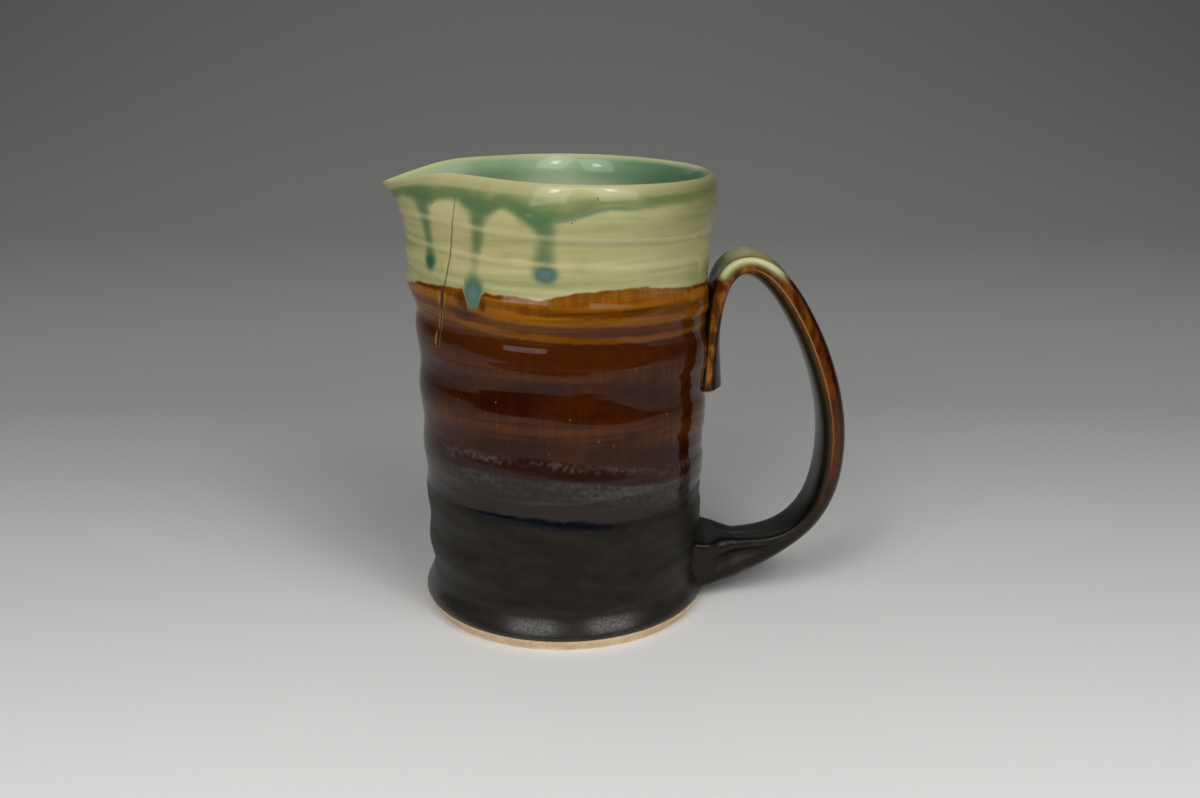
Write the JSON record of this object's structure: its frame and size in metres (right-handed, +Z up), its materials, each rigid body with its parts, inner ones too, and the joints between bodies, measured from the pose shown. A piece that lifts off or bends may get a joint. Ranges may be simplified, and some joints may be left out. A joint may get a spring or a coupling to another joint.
{
  "type": "cream jug",
  "caption": "Straight-sided stoneware cream jug with spiral throwing rings, pinched spout, looped strap handle and banded celadon, amber-brown and satin black glazes; holds and pours cream.",
  "frame": {"origin": "centre of the flat base, on the surface that the jug stands on", "axes": "+Z up, +X towards the handle, -X towards the spout"},
  "size_m": [0.1194, 0.0772, 0.1156],
  "materials": {
    "stoneware": "bare buff stoneware, matte and slightly gritty",
    "slip": "fired slip, matte",
    "celadon_glaze": "glossy pale celadon with green-blue runs",
    "brown_glaze": "glossy amber to red-brown, darker where it is thick",
    "black_glaze": "satin brown-black"
  },
  "bodies": {
    "root": {"thrown_body": "stoneware", "handle_strap": "stoneware", "upper_slip_joint": "slip", "lower_slip_joint": "slip", "liner_glaze": "celadon_glaze", "collar_glaze": "celadon_glaze", "brown_glaze": "brown_glaze", "black_glaze": "black_glaze", "handle_tongue_glaze": "brown_glaze", "handle_crest_glaze": "celadon_glaze", "handle_arm_glaze": "brown_glaze", "handle_tail_glaze": "black_glaze"}
  },
  "joints": []
}
